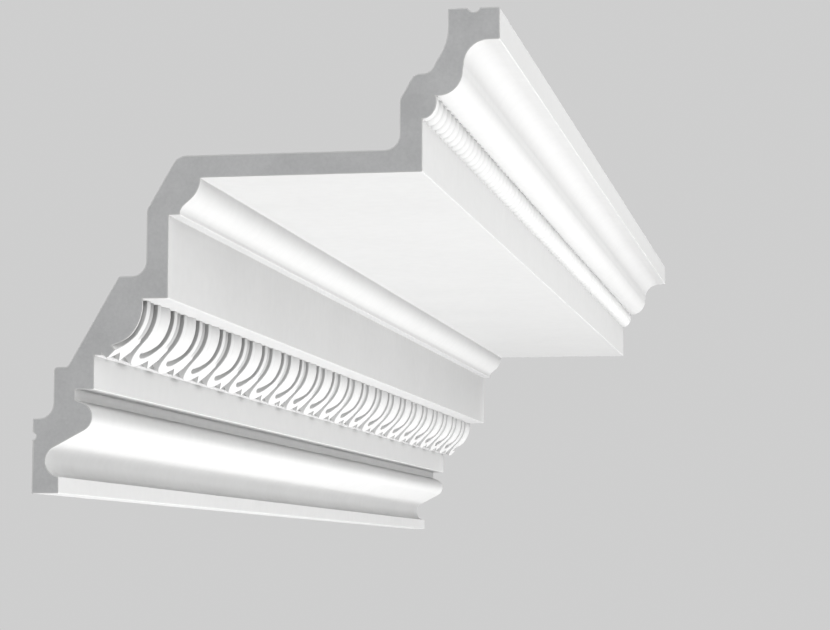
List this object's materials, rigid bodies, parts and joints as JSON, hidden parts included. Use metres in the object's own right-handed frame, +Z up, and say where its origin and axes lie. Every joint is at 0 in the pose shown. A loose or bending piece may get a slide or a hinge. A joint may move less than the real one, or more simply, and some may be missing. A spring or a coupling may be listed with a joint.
{
  "type": "cornice moulding length",
  "caption": "Straight length of hollow-backed cornice moulding with egg-and-dart and bead bands, cut square at both ends.",
  "frame": {"origin": "on the back face of the wall foot at mid-length, 14 mm above the bottom edge", "axes": "+X out from the wall into the room, +Y along the length, +Z up to the ceiling"},
  "size_m": [0.2501, 1.113, 0.252],
  "materials": {
    "primed_white": "matt white priming coat"
  },
  "bodies": {
    "root": {"cornice_length": "primed_white"}
  },
  "joints": []
}
